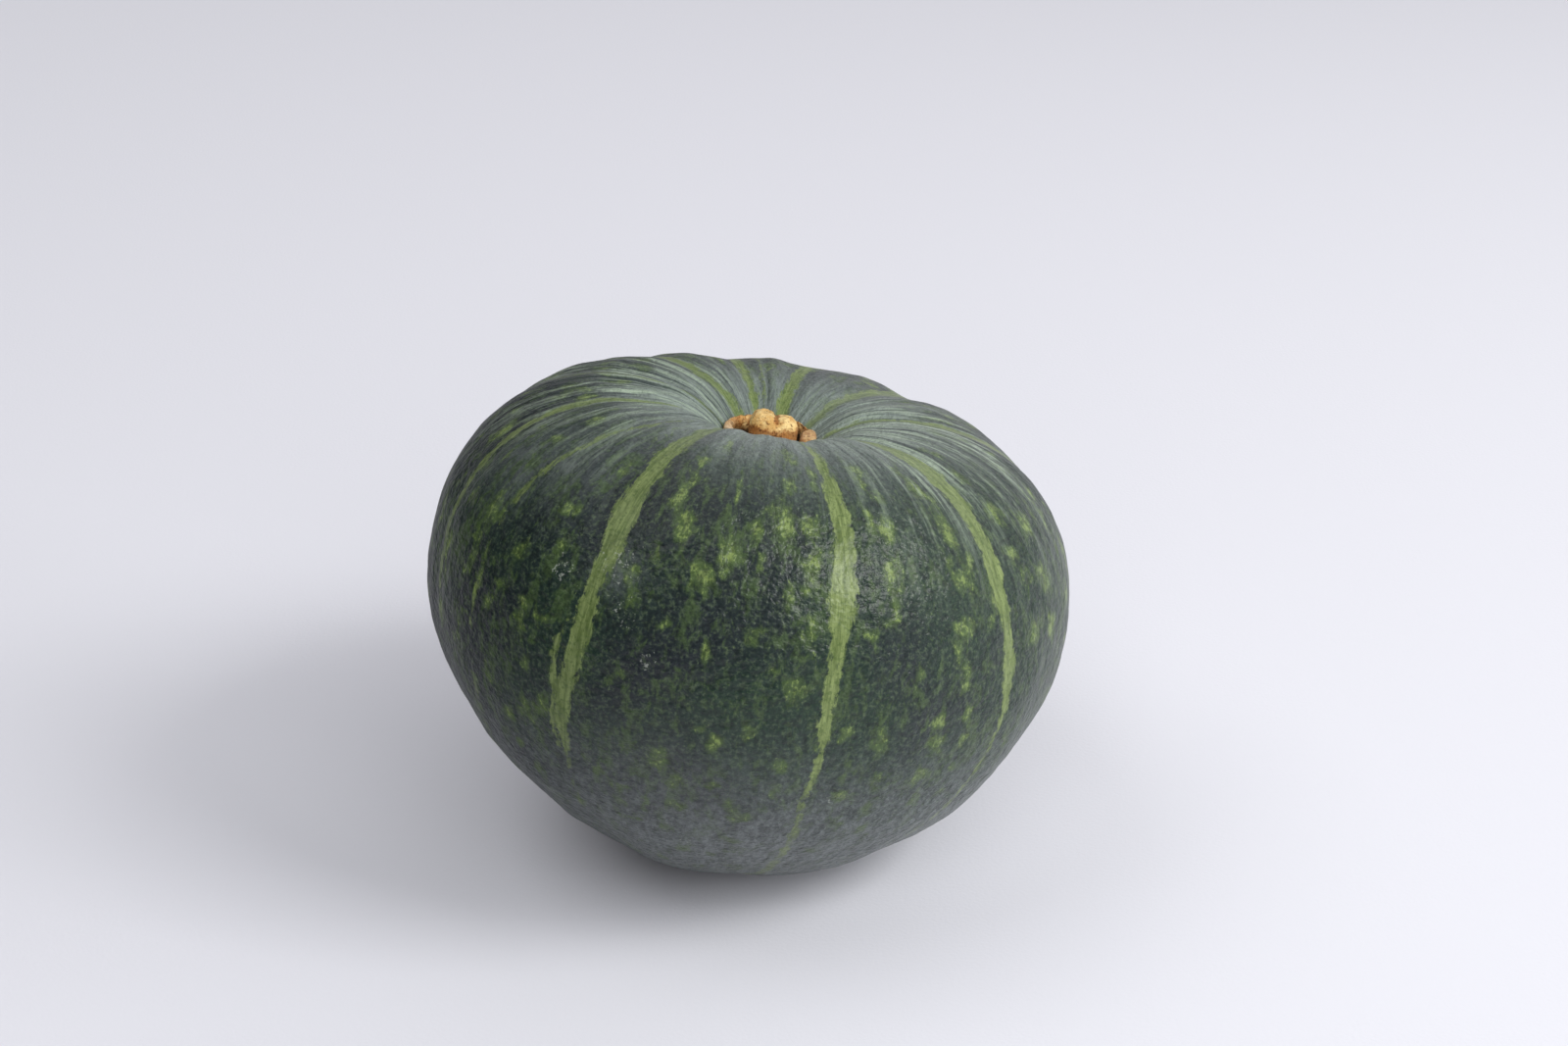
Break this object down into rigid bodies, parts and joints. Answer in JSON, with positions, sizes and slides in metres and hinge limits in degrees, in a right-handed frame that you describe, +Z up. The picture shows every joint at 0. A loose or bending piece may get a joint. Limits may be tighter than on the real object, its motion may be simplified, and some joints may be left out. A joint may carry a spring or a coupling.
{
  "type": "kabocha squash",
  "caption": "Whole kabocha squash: a squat, shallow-ribbed fruit with a trimmed corky stem in its stem hollow, resting on a small flat spot.",
  "frame": {"origin": "middle of the flat spot that the squash rests on", "axes": "+Z up; -Y is the side the squash is usually seen from; the stem axis leans about 9 degrees towards +X and 4 degrees towards +Y"},
  "size_m": [0.1695, 0.1755, 0.134],
  "materials": {
    "rind": "satin",
    "cork": "matte"
  },
  "bodies": {
    "root": {"squash_body": "rind", "stem": "cork"}
  },
  "joints": []
}
